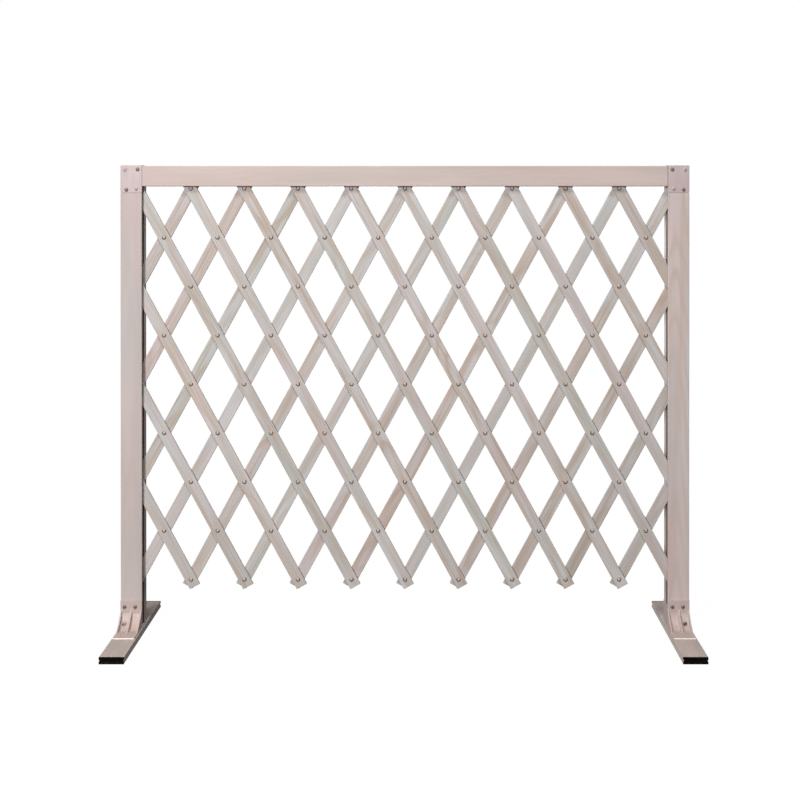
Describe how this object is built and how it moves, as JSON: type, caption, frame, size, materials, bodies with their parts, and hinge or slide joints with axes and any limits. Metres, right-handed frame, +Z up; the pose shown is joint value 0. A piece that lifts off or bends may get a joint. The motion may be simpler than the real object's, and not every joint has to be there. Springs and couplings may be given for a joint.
{
  "type": "expandable lattice fence",
  "caption": "Free-standing garden fence: a grooved wooden frame on two flat feet, with a riveted scissor lattice that folds up and down inside it.",
  "frame": {"origin": "on the floor, in the middle of the footprint, halfway between the two feet", "axes": "+X to the right when seen from the front, +Y to the back, +Z up; the front of the lattice, with the rivet heads, faces -Y"},
  "size_m": [1.205, 0.36, 0.99],
  "materials": {
    "stained_frame_wood": "pale pinkish-grey stain, satin",
    "stained_lattice_wood": "pale pinkish-grey stain, matt",
    "coated_cap": "matt coat in the colour of the wood",
    "coated_foot": "matt coat in the colour of the wood",
    "moulded_shoe": "satin moulding in the colour of the wood",
    "black_end_cap": "matt black",
    "dark_screw": "browned",
    "stained_screw": "stained over, in the colour of the wood",
    "foot_bolt_steel": "plain zinc"
  },
  "bodies": {
    "frame": {"left_post": "stained_frame_wood", "left_corner_cap": "coated_cap", "left_foot": "coated_foot", "left_foot_front_cap": "black_end_cap", "left_foot_back_cap": "black_end_cap", "left_shoe": "moulded_shoe", "left_foot_bolt": "foot_bolt_steel", "left_cap_screw_1": "stained_screw", "left_cap_screw_2": "dark_screw", "left_cap_screw_3": "dark_screw", "left_cap_screw_4": "stained_screw", "left_shoe_screw_1": "dark_screw", "left_shoe_screw_2": "dark_screw", "left_shoe_screw_3": "dark_screw", "right_post": "stained_frame_wood", "right_corner_cap": "coated_cap", "right_foot": "coated_foot", "right_foot_front_cap": "black_end_cap", "right_foot_back_cap": "black_end_cap", "right_shoe": "moulded_shoe", "right_foot_bolt": "foot_bolt_steel", "right_cap_screw_1": "stained_screw", "right_cap_screw_2": "dark_screw", "right_cap_screw_3": "dark_screw", "right_cap_screw_4": "stained_screw", "right_shoe_screw_1": "dark_screw", "right_shoe_screw_2": "dark_screw", "right_shoe_screw_3": "dark_screw", "top_rail": "stained_frame_wood"},
    "front_slat_01": {"front_slat_01": "stained_lattice_wood"},
    "front_slat_02": {"front_slat_02": "stained_lattice_wood"},
    "front_slat_03": {"front_slat_03": "stained_lattice_wood"},
    "front_slat_04": {"front_slat_04": "stained_lattice_wood"},
    "front_slat_05": {"front_slat_05": "stained_lattice_wood"},
    "front_slat_06": {"front_slat_06": "stained_lattice_wood"},
    "front_slat_07": {"front_slat_07": "stained_lattice_wood"},
    "front_slat_08": {"front_slat_08": "stained_lattice_wood"},
    "front_slat_09": {"front_slat_09": "stained_lattice_wood"},
    "front_slat_10": {"front_slat_10": "stained_lattice_wood"},
    "front_slat_11": {"front_slat_11": "stained_lattice_wood"},
    "front_slat_12": {"front_slat_12": "stained_lattice_wood"},
    "front_slat_13": {"front_slat_13": "stained_lattice_wood"},
    "back_slat_01": {"back_slat_01": "stained_lattice_wood"},
    "back_slat_02": {"back_slat_02": "stained_lattice_wood"},
    "back_slat_03": {"back_slat_03": "stained_lattice_wood"},
    "back_slat_04": {"back_slat_04": "stained_lattice_wood"},
    "back_slat_05": {"back_slat_05": "stained_lattice_wood"},
    "back_slat_06": {"back_slat_06": "stained_lattice_wood"},
    "back_slat_07": {"back_slat_07": "stained_lattice_wood"},
    "back_slat_08": {"back_slat_08": "stained_lattice_wood"},
    "back_slat_09": {"back_slat_09": "stained_lattice_wood"},
    "back_slat_10": {"back_slat_10": "stained_lattice_wood"},
    "back_slat_11": {"back_slat_11": "stained_lattice_wood"},
    "back_slat_12": {"back_slat_12": "stained_lattice_wood"},
    "back_slat_13": {"back_slat_13": "stained_lattice_wood"}
  },
  "joints": [
    {"name": "lattice_fold", "type": "hinge", "parent": "frame", "child": "front_slat_04", "pos_m": [-0.56667, 0.01215, 0.941], "axis": [0, 1, 0], "range_deg": [0, 10]},
    {"name": "pivot_back_slat_01", "type": "hinge", "parent": "front_slat_04", "child": "back_slat_01", "pos_m": [-0.51, 0.01215, 0.8375], "axis": [0, -1, 0], "range_deg": [0, 20]},
    {"name": "pivot_back_slat_02", "type": "hinge", "parent": "front_slat_04", "child": "back_slat_02", "pos_m": [-0.45334, 0.01215, 0.73399], "axis": [0, -1, 0], "range_deg": [0, 20]},
    {"name": "pivot_back_slat_03", "type": "hinge", "parent": "front_slat_04", "child": "back_slat_03", "pos_m": [-0.39667, 0.01215, 0.63049], "axis": [0, -1, 0], "range_deg": [0, 20]},
    {"name": "pivot_back_slat_04", "type": "hinge", "parent": "front_slat_04", "child": "back_slat_04", "pos_m": [-0.34, 0.01215, 0.52699], "axis": [0, -1, 0], "range_deg": [0, 20]},
    {"name": "pivot_back_slat_05", "type": "hinge", "parent": "front_slat_04", "child": "back_slat_05", "pos_m": [-0.28334, 0.01215, 0.42349], "axis": [0, -1, 0], "range_deg": [0, 20]},
    {"name": "pivot_back_slat_06", "type": "hinge", "parent": "front_slat_04", "child": "back_slat_06", "pos_m": [-0.22667, 0.01215, 0.31998], "axis": [0, -1, 0], "range_deg": [0, 20]},
    {"name": "pivot_back_slat_07", "type": "hinge", "parent": "front_slat_04", "child": "back_slat_07", "pos_m": [-0.17, 0.01215, 0.21648], "axis": [0, -1, 0], "range_deg": [0, 20]},
    {"name": "pivot_back_slat_08", "type": "hinge", "parent": "front_slat_04", "child": "back_slat_08", "pos_m": [-0.11333, 0.01215, 0.11298], "axis": [0, -1, 0], "range_deg": [0, 20]},
    {"name": "pivot_front_slat_01", "type": "hinge", "parent": "back_slat_04", "child": "front_slat_01", "pos_m": [-0.51, 0.01215, 0.21648], "axis": [0, 1, 0], "range_deg": [0, 20]},
    {"name": "pivot_front_slat_02", "type": "hinge", "parent": "back_slat_04", "child": "front_slat_02", "pos_m": [-0.45334, 0.01215, 0.31998], "axis": [0, 1, 0], "range_deg": [0, 20]},
    {"name": "pivot_front_slat_03", "type": "hinge", "parent": "back_slat_04", "child": "front_slat_03", "pos_m": [-0.39667, 0.01215, 0.42349], "axis": [0, 1, 0], "range_deg": [0, 20]},
    {"name": "pivot_front_slat_05", "type": "hinge", "parent": "back_slat_05", "child": "front_slat_05", "pos_m": [-0.22667, 0.01215, 0.52699], "axis": [0, 1, 0], "range_deg": [0, 20]},
    {"name": "pivot_front_slat_06", "type": "hinge", "parent": "back_slat_06", "child": "front_slat_06", "pos_m": [-0.11333, 0.01215, 0.52699], "axis": [0, 1, 0], "range_deg": [0, 20]},
    {"name": "pivot_front_slat_07", "type": "hinge", "parent": "back_slat_07", "child": "front_slat_07", "pos_m": [0, 0.01215, 0.52699], "axis": [0, 1, 0], "range_deg": [0, 20]},
    {"name": "pivot_front_slat_08", "type": "hinge", "parent": "back_slat_08", "child": "front_slat_08", "pos_m": [0.11333, 0.01215, 0.52699], "axis": [0, 1, 0], "range_deg": [0, 20]},
    {"name": "pivot_front_slat_09", "type": "hinge", "parent": "back_slat_08", "child": "front_slat_09", "pos_m": [0.17, 0.01215, 0.63049], "axis": [0, 1, 0], "range_deg": [0, 20]},
    {"name": "pivot_front_slat_10", "type": "hinge", "parent": "back_slat_08", "child": "front_slat_10", "pos_m": [0.22667, 0.01215, 0.73399], "axis": [0, 1, 0], "range_deg": [0, 20]},
    {"name": "pivot_back_slat_09", "type": "hinge", "parent": "front_slat_10", "child": "back_slat_09", "pos_m": [0.28334, 0.01215, 0.63049], "axis": [0, -1, 0], "range_deg": [0, 20]},
    {"name": "pivot_back_slat_10", "type": "hinge", "parent": "front_slat_10", "child": "back_slat_10", "pos_m": [0.34, 0.01215, 0.52699], "axis": [0, -1, 0], "range_deg": [0, 20]},
    {"name": "pivot_back_slat_11", "type": "hinge", "parent": "front_slat_10", "child": "back_slat_11", "pos_m": [0.39667, 0.01215, 0.42349], "axis": [0, -1, 0], "range_deg": [0, 20]},
    {"name": "pivot_back_slat_12", "type": "hinge", "parent": "front_slat_10", "child": "back_slat_12", "pos_m": [0.45334, 0.01215, 0.31998], "axis": [0, -1, 0], "range_deg": [0, 20]},
    {"name": "pivot_back_slat_13", "type": "hinge", "parent": "front_slat_10", "child": "back_slat_13", "pos_m": [0.51, 0.01215, 0.21648], "axis": [0, -1, 0], "range_deg": [0, 20]},
    {"name": "pivot_front_slat_11", "type": "hinge", "parent": "back_slat_10", "child": "front_slat_11", "pos_m": [0.39667, 0.01215, 0.63049], "axis": [0, 1, 0], "range_deg": [0, 20]},
    {"name": "pivot_front_slat_12", "type": "hinge", "parent": "back_slat_10", "child": "front_slat_12", "pos_m": [0.45334, 0.01215, 0.73399], "axis": [0, 1, 0], "range_deg": [0, 20]},
    {"name": "pivot_front_slat_13", "type": "hinge", "parent": "back_slat_10", "child": "front_slat_13", "pos_m": [0.51, 0.01215, 0.8375], "axis": [0, 1, 0], "range_deg": [0, 20]}
  ],
  "couplings": [
    {"joint": "pivot_back_slat_01", "follows": "lattice_fold", "ratio": 2},
    {"joint": "pivot_back_slat_02", "follows": "lattice_fold", "ratio": 2},
    {"joint": "pivot_back_slat_03", "follows": "lattice_fold", "ratio": 2},
    {"joint": "pivot_back_slat_04", "follows": "lattice_fold", "ratio": 2},
    {"joint": "pivot_back_slat_05", "follows": "lattice_fold", "ratio": 2},
    {"joint": "pivot_back_slat_06", "follows": "lattice_fold", "ratio": 2},
    {"joint": "pivot_back_slat_07", "follows": "lattice_fold", "ratio": 2},
    {"joint": "pivot_back_slat_08", "follows": "lattice_fold", "ratio": 2},
    {"joint": "pivot_back_slat_09", "follows": "lattice_fold", "ratio": 2},
    {"joint": "pivot_back_slat_10", "follows": "lattice_fold", "ratio": 2},
    {"joint": "pivot_back_slat_11", "follows": "lattice_fold", "ratio": 2},
    {"joint": "pivot_back_slat_12", "follows": "lattice_fold", "ratio": 2},
    {"joint": "pivot_back_slat_13", "follows": "lattice_fold", "ratio": 2},
    {"joint": "pivot_front_slat_01", "follows": "lattice_fold", "ratio": 2},
    {"joint": "pivot_front_slat_02", "follows": "lattice_fold", "ratio": 2},
    {"joint": "pivot_front_slat_03", "follows": "lattice_fold", "ratio": 2},
    {"joint": "pivot_front_slat_05", "follows": "lattice_fold", "ratio": 2},
    {"joint": "pivot_front_slat_06", "follows": "lattice_fold", "ratio": 2},
    {"joint": "pivot_front_slat_07", "follows": "lattice_fold", "ratio": 2},
    {"joint": "pivot_front_slat_08", "follows": "lattice_fold", "ratio": 2},
    {"joint": "pivot_front_slat_09", "follows": "lattice_fold", "ratio": 2},
    {"joint": "pivot_front_slat_10", "follows": "lattice_fold", "ratio": 2},
    {"joint": "pivot_front_slat_11", "follows": "lattice_fold", "ratio": 2},
    {"joint": "pivot_front_slat_12", "follows": "lattice_fold", "ratio": 2},
    {"joint": "pivot_front_slat_13", "follows": "lattice_fold", "ratio": 2}
  ]
}
